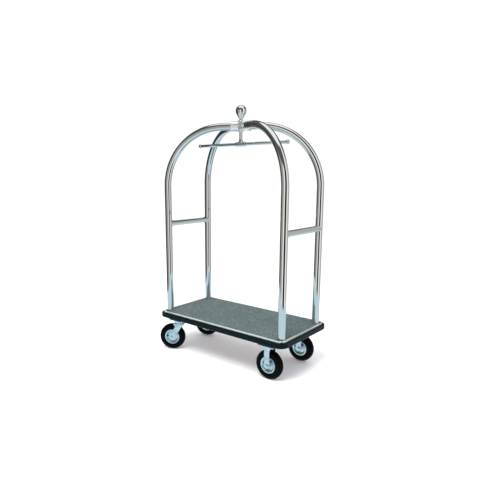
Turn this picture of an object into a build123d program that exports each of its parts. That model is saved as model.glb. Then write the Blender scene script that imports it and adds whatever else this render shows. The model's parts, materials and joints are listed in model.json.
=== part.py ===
"""Hotel luggage cart with a birdcage of four bent tubes over a carpeted deck.

Frame: millimetres, +X along the length, +Y across the width, +Z up. The origin is on
the floor, under the centre of the deck. The swivel casters are at the -X end and the
rigid casters at the +X end.
"""

import os
from math import atan2, cos, degrees, hypot, radians, sin, sqrt

from build123d import *

# Deck, over its metal edge trim
deck_length = 1116.0
deck_width = 554.0
deck_corner_radius = 46.0
carpet_thickness = 6.0
board_thickness = 18.0
frame_depth = 20.0
frame_flange = 70.0
frame_sheet = 2.5
deck_bar_width = 40.0
deck_bar_spacing = 170.0
deck_bar_count = 3
trim_thickness = 3.0
trim_lip_width = 7.0
trim_lip_thickness = 2.6
trim_lip_press = 1.0
trim_rounding = 1.2
bumper_thickness = 18.0
bumper_height = 38.0
bumper_rounding = 8.0
bumper_groove_depth = 2.0
bumper_groove_height = 3.0
smallest_corner_radius = 6.0

# Cross members that carry the casters
cross_member_depth = 20.0
cross_member_sheet = 3.0
cross_member_side_margin = 6.0
cross_member_end_margin = 4.0

# Birdcage of bent tubes
post_gap_x = 2.0
post_gap_y = 15.0
tube_diameter = 50.8
tube_wall = 1.5
crown_height = 1680.0
bend_radius = 415.0
crown_slope = 8.0
crown_straight = 42.0
base_ring_width = 5.6
base_ring_height = 10.0
base_ring_chamfer = 2.0
foot_plug_length = 45.0
post_bolt_diameter = 12.0
post_bolt_engagement = 32.0
foot_plug_spare_thread = 3.0

# End rails
rail_diameter = 40.0
rail_wall = 1.5
rail_below_bend = 277.5
rail_collar_width = 4.0
rail_collar_reach = 14.0

# Crown hub, finial and hanger
hub_collar_width = 9.6
hub_tube_gap = 3.5
hub_collar_rounding = 2.0
hub_boss_diameter = 44.0
hub_boss_above_collar = 3.0
spigot_length = 36.0
set_screw_diameter = 6.0
set_screw_inset = 18.0
set_screw_stand = 1.0
finial_diameter = 77.0
finial_centre_above_crown = 102.0
finial_neck_diameter = 22.0
finial_base_diameter = 34.0
finial_base_height = 5.0
finial_socket_depth = 20.0
hanger_rod_diameter = 23.0
hanger_stud_diameter = 12.0
hanger_bar_below_crown = 122.0
hanger_rod_rounding = 1.0
hanger_stud_end_gap = 2.0
hanger_bar_diameter = 22.0
hanger_length = 770.0
hanger_ball_diameter = 30.0
hanger_ball_socket = 8.0
tee_sleeve_width = 5.0
tee_length = 84.0
tee_flare_height = 42.0
tee_flare_radius = 34.0
tee_flare_waist = 0.22
tee_flare_waist_height = 0.42
tee_end_chamfer = 1.5

# Wheels
tyre_diameter = 203.2
tyre_width = 58.0
tyre_wall = 6.0
tyre_cavity_seat = (9.0, 9.0)
tyre_cavity_seat_gap = 10.0
tyre_cavity_shoulder = (2.2, 1.6)
tyre_cavity_crown = (1.3, 0.2)
tyre_shoulder_drop = 8.0
tyre_shoulder_inset = 2.4
tyre_shoulder_round = (3.4, 5.0)
tyre_crown_drop = 1.2
tyre_bulge_offset = 3.0
tyre_bead_heel = (2.0, 5.2)
tyre_bead_lip = (0.8, 4.1)
tyre_bead_width = 7.5
tread_share = 0.34
tread_groove_width = 3.0
tread_groove_depth = 2.0
tread_groove_share = 0.55
rim_seat_radius = 47.6
rim_sheet = 2.2
rim_lip_radius = 56.0
rim_lip_bead = 2.2
rim_inside_tyre = 5.5
rim_dish_width = 7.0
rim_dish_depth = 9.0
rim_flare_width = 4.5
rim_flare_rise = 3.0
rim_bend_radius = 2.5
rim_disc_overlap = 0.11
wheel_hub_diameter = 36.0
hub_spacer_length = 4.0
hub_spacer_diameter = 19.2
bearing_outer_diameter = 28.0
bearing_width = 10.0
axle_diameter = 12.0
axle_end_chamfer = 1.0
rim_bolt_circle = 60.0
rim_bolt_count = 4
rim_bolt_diameter = 6.0
valve_diameter = 8.0
valve_length = 14.0
valve_bore = 3.0
valve_offset = 9.0
valve_root = 3.0
air_ring_wall = 4.0

# Casters
caster_plate_x = 114.0
caster_plate_y = 102.0
caster_plate_thickness = 6.0
caster_plate_corner = 8.0
plate_bolt_spacing_x = 92.0
plate_bolt_spacing_y = 74.0
plate_bolt_diameter = 8.0
fork_sheet = 5.0
fork_leg_width = 42.0
fork_side_clearance = 4.0
fork_bend_radius = 3.0
fork_crown_depth = 14.0
fork_crown_corner = 3.0
tyre_top_clearance = 8.0
swivel_trail = 56.0
swivel_crown_half_length = 38.0
rigid_crown_half_length = 30.0
race_height = 7.5
race_gap = 4.1
race_inner_radius = 20.0
race_outer_radius = 36.0
dust_skirt_width = 3.0
ball_diameter = 9.5
ball_circle_diameter = 56.0
ball_count = 16
kingpin_diameter = 16.0
kingpin_head_diameter = 24.0
kingpin_head_height = 6.0
kingpin_head_clearance = 1.0
kingpin_nut_height = 8.0
swivel_mount_from_post = 77.0
rigid_mount_from_post = 100.0
caster_side_inset = 74.0
front_swivel_direction = 209.0
back_swivel_direction = 205.0
rigid_direction = 180.0

# Bolts, nuts and washers, as shares of the thread's diameter
hex_flats_share = 1.6
hex_corner_share = 0.56
hex_chamfer_share = 0.04
bolt_head_share = 0.65
nut_share = 0.8
washer_thickness = 2.0
bolt_beyond_nut = 2.0

# Clearances
running_clearance = 0.05
moving_gap = 0.3
slip_clearance = 0.1
weld_gap = 0.05
weld_depth = 1.0
bolt_hole_clearance = 0.4
skirt_clearance = 1.5
skirt_height_gap = 3.0

# How far a cutting shape runs past the surface that it opens
cut_margin = 1.0

# Heights, stacked up from the floor
tube_radius = tube_diameter / 2
rail_radius = rail_diameter / 2
tyre_radius = tyre_diameter / 2
axle_height = tyre_radius
fork_crown_bottom = tyre_diameter + tyre_top_clearance
fork_crown_top = fork_crown_bottom + fork_sheet
plate_bottom = fork_crown_top + 2 * race_height + race_gap
caster_height = plate_bottom + caster_plate_thickness
ball_height = (fork_crown_top + plate_bottom) / 2
frame_bottom = caster_height + cross_member_depth
board_bottom = frame_bottom + frame_depth
board_top = board_bottom + board_thickness
carpet_top = board_top + carpet_thickness
trim_lip_bottom = carpet_top - trim_lip_press
trim_top = trim_lip_bottom + trim_lip_thickness
bumper_top = frame_bottom + bumper_height
hanger_bar_height = crown_height - hanger_bar_below_crown

# Plan positions of the posts, whose foot rings stand clear of the trim's lip by the gaps,
# and the directions of the arches over the deck
post_inset = trim_thickness + trim_lip_width + base_ring_width + tube_radius
post_x = deck_length / 2 - post_inset - post_gap_x
post_y = deck_width / 2 - post_inset - post_gap_y
post_places = {
    "front_left": (-post_x, -post_y),
    "front_right": (post_x, -post_y),
    "back_right": (post_x, post_y),
    "back_left": (-post_x, post_y),
}
arch_reach = hypot(post_x, post_y)
hub_collar_radius = tube_radius + hub_collar_width
arch_half_angle = min(atan2(post_y, post_x), atan2(post_x, post_y))
hub_reach = tube_radius / sin(arch_half_angle) + hub_tube_gap
hub_half_height = hub_collar_radius + hub_boss_above_collar
spigot_radius = tube_radius - tube_wall - slip_clearance

# An arch in its own plane: a wide bend, then a flatter arc that ends level at the hub
slope = radians(crown_slope)
crown_arc_start = hub_reach + crown_straight
crown_arc_radius = (arch_reach - crown_arc_start - bend_radius * (1 - sin(slope))) / sin(slope)
bend_height = crown_height - crown_arc_radius * (1 - cos(slope)) - bend_radius * cos(slope)
rail_height = bend_height - rail_below_bend

# Wheel and fork widths, from the tyre's middle outwards
rim_half_width = tyre_width / 2 - rim_inside_tyre
fork_inner_half = tyre_width / 2 + fork_side_clearance
fork_outer_half = fork_inner_half + fork_sheet
wheel_hub_half = fork_inner_half - hub_spacer_length

# Plan positions of the casters
swivel_mount_x = swivel_mount_from_post - post_x
rigid_mount_x = post_x - rigid_mount_from_post
caster_mount_y = deck_width / 2 - caster_side_inset

swivel_casters = {
    "front_left": (swivel_mount_x, -caster_mount_y, front_swivel_direction),
    "back_left": (swivel_mount_x, caster_mount_y, back_swivel_direction),
}
rigid_casters = {
    "front_right": (rigid_mount_x, -caster_mount_y, rigid_direction),
    "back_right": (rigid_mount_x, caster_mount_y, rigid_direction),
}


def cylinder(radius, bottom, top, x=0.0, y=0.0):
    """Upright round bar between two heights."""
    return Pos(x, y, (bottom + top) / 2) * Cylinder(radius, top - bottom)


def tube(outer_radius, inner_radius, bottom, top, x=0.0, y=0.0):
    """Upright ring or pipe between two heights."""
    return cylinder(outer_radius, bottom, top, x, y) - bore(inner_radius, bottom, top, x, y)


def bore(radius, bottom, top, x=0.0, y=0.0):
    """Upright cutting bar that runs past both heights."""
    return cylinder(radius, bottom - cut_margin, top + cut_margin, x, y)


def hexagon(thread, bottom, top, x=0.0, y=0.0):
    """Upright hexagonal head or nut for a thread, with its sharp corners taken off."""
    flats = hex_flats_share * thread
    outline = RegularPolygon(flats / 2, 6, major_radius=False)
    drum = cylinder(hex_corner_share * flats, 0, top - bottom)
    drum = chamfer(drum.edges().filter_by(GeomType.CIRCLE), hex_chamfer_share * flats)
    return Pos(x, y, bottom) * (extrude(outline, top - bottom) & drum)


def crosswise(solid):
    """Turn an upright solid about the origin so that its axis lies along +Y."""
    return Rot(-90, 0, 0) * solid


def deck_plate(inset, bottom, top):
    """The deck's rounded outline, shrunk by the inset on every side."""
    corner = max(deck_corner_radius - inset, smallest_corner_radius)
    outline = RectangleRounded(deck_length - 2 * inset, deck_width - 2 * inset, corner)
    return Pos(0, 0, bottom) * extrude(outline, top - bottom)


def deck_ring(outer_inset, inner_inset, bottom, top):
    """A band that follows the deck's rounded outline."""
    inside = deck_plate(inner_inset, bottom - cut_margin, top + cut_margin)
    return deck_plate(outer_inset, bottom, top) - inside


def at_posts(make):
    """One copy of a small piece at each post."""
    return [make(x, y) for x, y in post_places.values()]


def export(name, *solids):
    """Write one node: its solids stay separate inside one file."""
    pieces = [piece for solid in solids for piece in solid.solids()]
    shape = pieces[0] if len(pieces) == 1 else Compound(children=pieces)
    export_step(shape, os.path.join("parts", name + ".step"))


# ---------------------------------------------------------------- deck


def make_deck_frame():
    """Steel channel frame under the board, open inwards, with flat bars across it."""
    inset = trim_thickness
    frame = deck_ring(inset, inset + frame_sheet, frame_bottom, board_bottom)
    frame += deck_ring(inset, inset + frame_flange, frame_bottom, frame_bottom + frame_sheet)
    frame += deck_ring(inset, inset + frame_flange, board_bottom - frame_sheet, board_bottom)
    bar_length = deck_width - 2 * (inset + frame_sheet)
    middle = (frame_bottom + board_bottom) / 2
    for place in GridLocations(deck_bar_spacing, 0, deck_bar_count, 1):
        bar = Box(deck_bar_width, bar_length, frame_depth - 2 * frame_sheet)
        frame += Pos(0, 0, middle) * place * bar
    for x, y in post_places.values():
        frame -= bore(post_bolt_diameter / 2 + bolt_hole_clearance, frame_bottom, board_bottom, x, y)
    return frame


def make_cross_member(mount_x):
    """Upward-facing steel channel that two casters bolt to."""
    width = caster_plate_x + 2 * cross_member_side_margin
    length = 2 * caster_mount_y + caster_plate_y + 2 * cross_member_end_margin
    middle = caster_height + cross_member_depth / 2
    channel = Pos(0, 0, middle) * Box(width, length, cross_member_depth)
    hollow = Box(width - 2 * cross_member_sheet, length + 2 * cut_margin, cross_member_depth)
    channel -= Pos(0, 0, middle + cross_member_sheet) * hollow
    head_hole = kingpin_head_diameter / 2 + kingpin_head_clearance
    bolt_hole = plate_bolt_diameter / 2 + bolt_hole_clearance
    for side in (-1, 1):
        y = side * caster_mount_y
        channel -= bore(head_hole, caster_height, frame_bottom, 0, y)
        for bolt_x, bolt_y in plate_bolt_places():
            channel -= bore(bolt_hole, caster_height, frame_bottom, bolt_x, y + bolt_y)
    return Pos(mount_x, 0, 0) * channel


def make_deck_board():
    board = deck_plate(trim_thickness, board_bottom, board_top)
    for x, y in post_places.values():
        board -= bore(post_bolt_diameter / 2 + bolt_hole_clearance, board_bottom, board_top, x, y)
    return board


def make_carpet():
    """Carpet with its edge pressed down under the trim's lip."""
    carpet = deck_plate(trim_thickness, board_top, trim_lip_bottom)
    carpet += deck_plate(trim_thickness + trim_lip_width + slip_clearance, board_top, carpet_top)
    hole = tube_radius + base_ring_width + slip_clearance
    for x, y in post_places.values():
        carpet -= bore(hole, board_top, carpet_top, x, y)
    return carpet


def make_edge_trim():
    """Bright metal edging: an upright band with a narrow lip over the carpet's edge."""
    trim = deck_ring(0, trim_thickness, frame_bottom, trim_top)
    trim += deck_ring(0, trim_thickness + trim_lip_width, trim_lip_bottom, trim_top)
    return fillet(trim.faces().sort_by(Axis.Z)[-1].outer_wire().edges(), trim_rounding)


def make_bumper():
    """Rubber band round the deck, with rounded edges and one shallow groove."""
    bumper = deck_plate(-bumper_thickness, frame_bottom, bumper_top)
    edges = bumper.faces().sort_by(Axis.Z)[-1].edges() + bumper.faces().sort_by(Axis.Z)[0].edges()
    bumper = fillet(edges, min(bumper_rounding, bumper_thickness / 2, bumper_height / 3))
    bumper -= deck_plate(0, frame_bottom - cut_margin, bumper_top + cut_margin)
    groove = (frame_bottom + bumper_top) / 2
    outer = -bumper_thickness - cut_margin
    inner = bumper_groove_depth - bumper_thickness
    half = bumper_groove_height / 2
    return bumper - deck_ring(outer, inner, groove - half, groove + half)


# ---------------------------------------------------------------- birdcage


def make_arch_tube(x, y):
    """Post and quarter arch in one bent tube, from the board to the crown hub."""
    bend_centre = (arch_reach - bend_radius, bend_height)
    crown_centre = (crown_arc_start, crown_height - crown_arc_radius)
    route = Line((arch_reach, board_top), (arch_reach, bend_height))
    route += CenterArc(bend_centre, bend_radius, 0, 90 - crown_slope)
    route += CenterArc(crown_centre, crown_arc_radius, 90 - crown_slope, crown_slope)
    route += Line((crown_arc_start, crown_height), (hub_reach, crown_height))
    path = Plane.XZ * Wire(route.edges())
    foot = Pos(arch_reach, 0, board_top)
    hollow = sweep(foot * Circle(tube_radius - tube_wall), path=path)
    bent = sweep(foot * Circle(tube_radius), path=path) - hollow
    hole = cylinder(set_screw_diameter / 2, -tube_radius - cut_margin, 0, hub_reach + set_screw_inset)
    bent -= Pos(0, 0, crown_height) * hole
    return Rot(0, 0, degrees(atan2(y, x))) * bent


def make_base_ring(x, y):
    """Low ring round the foot of a post, standing on the board."""
    ring = tube(tube_radius + base_ring_width, tube_radius, board_top, board_top + base_ring_height, x, y)
    top_edges = ring.faces().sort_by(Axis.Z)[-1].edges().sort_by(SortBy.RADIUS)
    return chamfer(top_edges[-1], base_ring_chamfer)


def make_foot_plug(x, y):
    """Threaded plug in the bottom of a post, which the post bolt pulls down."""
    plug = cylinder(spigot_radius, board_top, board_top + foot_plug_length, x, y)
    depth = board_top + post_bolt_engagement + foot_plug_spare_thread
    return plug - cylinder(post_bolt_diameter / 2, board_top - cut_margin, depth, x, y)


def make_post_bolt(x, y):
    """Bolt from under the deck frame up into the foot plug."""
    top = board_top + post_bolt_engagement
    washer_bottom = frame_bottom - washer_thickness
    head_bottom = washer_bottom - bolt_head_share * post_bolt_diameter
    shank = cylinder(post_bolt_diameter / 2, washer_bottom, top, x, y)
    washer = cylinder(post_bolt_diameter, washer_bottom, frame_bottom, x, y)
    return shank + washer + hexagon(post_bolt_diameter, head_bottom, washer_bottom, x, y)


def saddle_cut(x):
    """Both posts at one end, a weld gap larger, for trimming what meets them."""
    radius = tube_radius + weld_gap
    span = (rail_height - rail_diameter * 2, rail_height + rail_diameter * 2)
    return cylinder(radius, *span, x, -post_y) + cylinder(radius, *span, x, post_y)


def make_end_rail(x):
    """Straight rail across one end, its ends shaped to the posts."""
    bar = crosswise(tube(rail_radius, rail_radius - rail_wall, -post_y, post_y))
    return (Pos(x, 0, rail_height) * bar) - saddle_cut(x)


def make_rail_collar(x, side):
    """Short ring where a rail meets a post."""
    inner = side * (post_y - tube_radius - rail_collar_reach)
    bottom, top = sorted((inner, side * post_y))
    ring = crosswise(tube(rail_radius + rail_collar_width, rail_radius + weld_gap, bottom, top))
    placed = (Pos(x, 0, rail_height) * ring) - saddle_cut(x)
    return placed.solids().sort_by(Axis.Y)[-1 if side < 0 else 0]


# ---------------------------------------------------------------- crown


def along_arch(solid, x, y):
    """Lay an upright solid along the level end of the arch that stands at x, y."""
    laid = Rot(0, 0, degrees(atan2(y, x))) * Rot(0, 90, 0) * solid
    return Pos(0, 0, crown_height) * laid


def make_crown_hub():
    """Four-way fitting: each collar stops a tube and each spigot fills its end."""
    hub = cylinder(hub_boss_diameter / 2, crown_height - hub_half_height, crown_height + hub_half_height)
    for x, y in post_places.values():
        collar = cylinder(hub_collar_radius, 0, hub_reach)
        collar = fillet(collar.faces().sort_by(Axis.Z)[-1].edges(), hub_collar_rounding)
        hub += along_arch(collar, x, y)
    for x, y in post_places.values():
        hub -= along_arch(cylinder(tube_radius + weld_gap, hub_reach, 2 * hub_reach), x, y)
    for x, y in post_places.values():
        hub += along_arch(cylinder(spigot_radius, 0, hub_reach + spigot_length), x, y)
    stud_hole = hanger_stud_diameter / 2 + running_clearance
    return hub - bore(stud_hole, crown_height - hub_half_height, crown_height + hub_half_height)


def make_hub_set_screw(x, y):
    """Screw through the underside of a tube, tight on the spigot."""
    head = -tube_radius - set_screw_stand
    screw = cylinder(set_screw_diameter / 2 - weld_gap, head, -spigot_radius)
    placed = Pos(hub_reach + set_screw_inset, 0, crown_height) * screw
    return Rot(0, 0, degrees(atan2(y, x))) * placed


def make_finial():
    """Turned ball whose lower half runs into a tapered neck on a flared base."""
    ball_radius = finial_diameter / 2
    neck_radius = finial_neck_diameter / 2
    base_bottom = hub_half_height - finial_centre_above_crown
    neck_bottom = base_bottom + finial_base_height
    distance = hypot(neck_radius, neck_bottom)
    tangent = sqrt(distance**2 - ball_radius**2)
    turn = atan2(neck_bottom, neck_radius) + atan2(tangent, ball_radius)
    touch = (ball_radius * cos(turn), ball_radius * sin(turn))
    outline = Polyline(
        (0, base_bottom),
        (finial_base_diameter / 2, base_bottom),
        (finial_base_diameter / 2, base_bottom + finial_base_height / 2),
        (neck_radius, neck_bottom),
        touch,
    )
    outline += ThreePointArc(touch, (ball_radius, 0), (0, ball_radius))
    outline += Line((0, ball_radius), (0, base_bottom))
    finial = revolve(Plane.XZ * make_face(outline.edges()), Axis.Z)
    socket_top = base_bottom + finial_socket_depth
    socket_radius = hanger_stud_diameter / 2 + running_clearance
    socket = cylinder(socket_radius, base_bottom - cut_margin, socket_top)
    return Pos(0, 0, crown_height + finial_centre_above_crown) * (finial - socket)


def make_hanger_rod():
    """Rod under the hub, with a stud up through the hub and another down into the tee."""
    top = crown_height - hub_half_height
    bottom = hanger_bar_height + tee_flare_height
    rod = cylinder(hanger_rod_diameter / 2, bottom, top)
    rod = fillet(rod.faces().sort_by(Axis.Z)[0].edges(), hanger_rod_rounding)
    stud_top = crown_height + hub_half_height + finial_socket_depth - hanger_stud_end_gap
    stud_bottom = hanger_bar_height + hanger_bar_diameter / 2 + hanger_stud_end_gap
    return rod + cylinder(hanger_stud_diameter / 2, stud_bottom, stud_top)


def make_hanger_tee():
    """Fitting that flares from the rod down to a sleeve round the bar."""
    sleeve_radius = hanger_bar_diameter / 2 + tee_sleeve_width
    rod_radius = hanger_rod_diameter / 2
    waist_radius = rod_radius + tee_flare_waist * (tee_flare_radius - rod_radius)
    waist = (waist_radius, tee_flare_waist_height * tee_flare_height)
    flare = Line((0, 0), (tee_flare_radius, 0))
    flare += ThreePointArc((tee_flare_radius, 0), waist, (rod_radius, tee_flare_height))
    flare += Polyline((rod_radius, tee_flare_height), (0, tee_flare_height), (0, 0))
    web = revolve(Plane.XZ * make_face(flare.edges()), Axis.Z)
    web &= Box(tee_length, 2 * sleeve_radius, 3 * tee_flare_height)
    sleeve = Rot(0, 90, 0) * cylinder(sleeve_radius, -tee_length / 2, tee_length / 2)
    sleeve = chamfer(sleeve.edges().filter_by(GeomType.CIRCLE), tee_end_chamfer)
    bar_hole = Rot(0, 90, 0) * cylinder(hanger_bar_diameter / 2 + slip_clearance, -tee_length, tee_length)
    stud_hole = cylinder(hanger_stud_diameter / 2 + running_clearance, 0, tee_flare_height + cut_margin)
    screw_hole = cylinder(set_screw_diameter / 2, -2 * sleeve_radius, 0)
    return Pos(0, 0, hanger_bar_height) * (web + sleeve - bar_hole - stud_hole - screw_hole)


def make_tee_set_screw():
    """Screw up through the bottom of the tee, tight on the bar."""
    bar_radius = hanger_bar_diameter / 2
    bottom = -bar_radius - tee_sleeve_width - set_screw_stand
    screw = cylinder(set_screw_diameter / 2 - weld_gap, bottom, -bar_radius)
    return Pos(0, 0, hanger_bar_height) * screw


def make_hanger_bar():
    half = hanger_length / 2 - hanger_ball_diameter / 2 + hanger_ball_socket
    bar = Rot(0, 90, 0) * cylinder(hanger_bar_diameter / 2, -half, half)
    return Pos(0, 0, hanger_bar_height) * bar


def make_hanger_ball(side):
    """Ball that closes one end of the hanger bar."""
    inner = hanger_length / 2 - hanger_ball_diameter / 2
    ball = Pos(hanger_length / 2, 0, 0) * Sphere(hanger_ball_diameter / 2)
    socket = cylinder(hanger_bar_diameter / 2 + slip_clearance, 0, inner + hanger_ball_socket)
    ball -= Rot(0, 90, 0) * socket
    return Pos(0, 0, hanger_bar_height) * Rot(0, 0, 0 if side > 0 else 180) * ball


# ---------------------------------------------------------------- wheel
# A wheel is made upright about the Z axis, with its middle at the origin.


def make_rim():
    """Two pressed halves back to back on a hub, each with a dish, a seat and a rolled lip."""
    half_sheet = rim_sheet / 2
    middle = rim_seat_radius - half_sheet
    disc_height = half_sheet - rim_disc_overlap
    dish = FilletPolyline(
        (wheel_hub_diameter / 2 - half_sheet, disc_height),
        (middle - rim_dish_width, disc_height),
        (middle, rim_dish_depth),
        (middle, rim_half_width - rim_flare_width),
        (middle + rim_flare_rise, rim_half_width - rim_flare_width / 3),
        (rim_lip_radius, rim_half_width),
        radius=rim_bend_radius,
    )
    bead = Pos(rim_lip_radius, rim_half_width - rim_lip_bead / 2) * Circle(rim_lip_bead)
    section = trace(dish, rim_sheet) + bead
    half = revolve(Plane.XZ * section, Axis.Z)
    hub = tube(wheel_hub_diameter / 2, bearing_outer_diameter / 2, -wheel_hub_half, wheel_hub_half)
    rim = half + mirror(half, Plane.XY) + hub
    for x, y in rim_bolt_places():
        rim -= bore(rim_bolt_diameter / 2 + slip_clearance, -rim_sheet, rim_sheet, x, y)
    return rim - valve_bar(valve_diameter / 2 + slip_clearance, middle / 2, rim_seat_radius + valve_root)


def valve_bar(radius, inner, outer):
    """Round bar along the valve's axis, between two distances from the wheel's axis."""
    return Pos(0, 0, valve_offset) * Rot(0, 90, 0) * cylinder(radius, inner, outer)


def rim_bolt_places():
    places = PolarLocations(rim_bolt_circle / 2, rim_bolt_count, 180 / rim_bolt_count)
    return [(place.position.X, place.position.Y) for place in places]


def make_rim_bolts():
    """Bolts and nuts that clamp the rim's halves together."""
    radius = rim_bolt_diameter / 2
    face = rim_sheet - rim_disc_overlap + weld_gap
    head = face + bolt_head_share * rim_bolt_diameter
    nut_end = -face - bolt_head_share * rim_bolt_diameter
    pieces = []
    for x, y in rim_bolt_places():
        shank = cylinder(radius, nut_end, head, x, y)
        pieces.append(shank + hexagon(rim_bolt_diameter, face, head, x, y))
        nut = hexagon(rim_bolt_diameter, nut_end, -face, x, y)
        pieces.append(nut - bore(radius + weld_gap, nut_end, -face, x, y))
    return pieces


def half_section(points):
    """Closed section from a list of (radius, height) points and its mirror image."""
    return points + [(radius, -height) for radius, height in reversed(points)]


def tyre_cavity():
    """Space inside the tyre that the inner tube fills."""
    seat = rim_seat_radius + slip_clearance
    half_width = tyre_width / 2
    shoulder_depth, shoulder_inset = tyre_cavity_shoulder
    crown_depth, crown_share = tyre_cavity_crown
    points = half_section(
        [
            (seat, rim_half_width - tyre_cavity_seat_gap),
            (seat + tyre_cavity_seat[0], rim_half_width - tyre_cavity_seat[1]),
            ((seat + tyre_radius) / 2, half_width - tyre_wall),
            (tyre_radius - shoulder_depth * tyre_wall, half_width - shoulder_inset * tyre_wall),
            (tyre_radius - crown_depth * tyre_wall, crown_share * tyre_width),
        ]
    )
    section = make_face(Polyline(*points, close=True))
    return revolve(Plane.XZ * section, Axis.Z)


def make_tyre():
    """Pneumatic tyre with a round shoulder and grooves round its tread."""
    seat = rim_seat_radius + slip_clearance
    lip = rim_lip_radius + rim_lip_bead
    half_width = tyre_width / 2
    half_tread = tread_share * tyre_width
    bead = (seat, rim_half_width - tyre_bead_width)
    heel = (seat + tyre_bead_heel[0], rim_half_width - tyre_bead_heel[1])
    lip_point = (lip + tyre_bead_lip[0], rim_half_width - tyre_bead_lip[1])
    bulge = ((lip + tyre_radius) / 2 + tyre_bulge_offset, half_width)
    shoulder = (tyre_radius - tyre_shoulder_drop, half_width - tyre_shoulder_inset)
    rounding = (tyre_radius - tyre_shoulder_round[0], half_width - tyre_shoulder_round[1])
    crown_edge = (tyre_radius - tyre_crown_drop, half_tread)
    crown_middle = (tyre_radius - tyre_crown_drop / 4, half_tread / 2)
    side = Polyline((seat, 0), bead, heel, lip_point)
    side += ThreePointArc(lip_point, bulge, shoulder)
    side += ThreePointArc(shoulder, rounding, crown_edge)
    side += ThreePointArc(crown_edge, crown_middle, (tyre_radius, 0))
    side += Line((tyre_radius, 0), (seat, 0))
    half = revolve(Plane.XZ * make_face(side.edges()), Axis.Z)
    tyre = half + mirror(half, Plane.XY) - tyre_cavity()
    half_groove = tread_groove_width / 2
    for step in (-1, 0, 1):
        middle = step * tread_groove_share * half_tread
        outer = tyre_radius + cut_margin
        inner = tyre_radius - tread_groove_depth
        tyre -= tube(outer, inner, middle - half_groove, middle + half_groove)
    return tyre


def make_inner_tube():
    """Air tube in the tyre, with its valve stem through the rim."""
    stem_end = rim_seat_radius - valve_length
    stem = valve_bar(valve_diameter / 2, stem_end, rim_seat_radius + valve_root)
    air_way = valve_bar(valve_bore / 2, stem_end - cut_margin, rim_seat_radius + 2 * air_ring_wall)
    return tyre_cavity() + stem - air_space() - air_way


def air_space():
    """Round ring of air inside the inner tube."""
    ring_radius = (rim_seat_radius + tyre_radius) / 2 - air_ring_wall / 4
    room = min(ring_radius - rim_seat_radius, tyre_width / 2 - tyre_wall) - air_ring_wall
    return Torus(ring_radius, room)


def make_bearings():
    """A sealed bearing in each end of the hub."""
    outer = bearing_outer_diameter / 2 - weld_gap
    inner = axle_diameter / 2 + running_clearance
    top = tube(outer, inner, wheel_hub_half - bearing_width, wheel_hub_half)
    return [top, tube(outer, inner, -wheel_hub_half, bearing_width - wheel_hub_half)]


def make_axle():
    """Axle bolt with its washers, nut and two spacers, about the wheel's axis."""
    inner = axle_diameter / 2 + weld_gap
    outer = fork_outer_half + washer_thickness
    head_end = outer + bolt_head_share * axle_diameter
    nut_end = -outer - nut_share * axle_diameter
    bolt = cylinder(axle_diameter / 2, nut_end - bolt_beyond_nut, head_end)
    bolt = chamfer(bolt.faces().sort_by(Axis.Z)[0].edges(), axle_end_chamfer)
    bolt += hexagon(axle_diameter, outer, head_end)
    nut = hexagon(axle_diameter, nut_end, -outer) - bore(inner, nut_end, -outer)
    pieces = [bolt, nut]
    for bottom in (fork_outer_half, -outer):
        pieces.append(tube(axle_diameter, inner, bottom, bottom + washer_thickness))
    for side in (-1, 1):
        ends = sorted((side * (wheel_hub_half + moving_gap), side * fork_inner_half))
        pieces.append(tube(hub_spacer_diameter / 2, inner, *ends))
    return pieces


# ---------------------------------------------------------------- casters
# A caster is made with its mount axis on the Z axis and its wheel trailing to +X.


def plate_bolt_places():
    places = GridLocations(plate_bolt_spacing_x, plate_bolt_spacing_y, 2, 2)
    return [(place.position.X, place.position.Y) for place in places]


def make_top_plate():
    """Flat plate with four bolt holes, as used by both kinds of caster."""
    outline = RectangleRounded(caster_plate_x, caster_plate_y, caster_plate_corner)
    plate = Pos(0, 0, plate_bottom) * extrude(outline, caster_plate_thickness)
    for x, y in plate_bolt_places():
        plate -= bore(plate_bolt_diameter / 2 + bolt_hole_clearance, plate_bottom, caster_height, x, y)
    return plate


def make_swivel_plate():
    """Top plate with the upper ball race and a skirt that keeps dust out of it."""
    skirt_inner = race_outer_radius + skirt_clearance
    plate = make_top_plate()
    plate += tube(race_outer_radius, race_inner_radius, plate_bottom - race_height, plate_bottom)
    skirt_bottom = fork_crown_top + skirt_height_gap
    plate += tube(skirt_inner + dust_skirt_width, skirt_inner, skirt_bottom, plate_bottom)
    plate += tube(
        skirt_inner + dust_skirt_width / 2,
        race_outer_radius - dust_skirt_width / 2,
        plate_bottom - dust_skirt_width,
        plate_bottom,
    )
    groove = Torus(ball_circle_diameter / 2, ball_diameter / 2 + moving_gap)
    plate -= Pos(0, 0, ball_height) * groove
    return plate - bore(kingpin_diameter / 2 + weld_gap, plate_bottom, caster_height)


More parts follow.
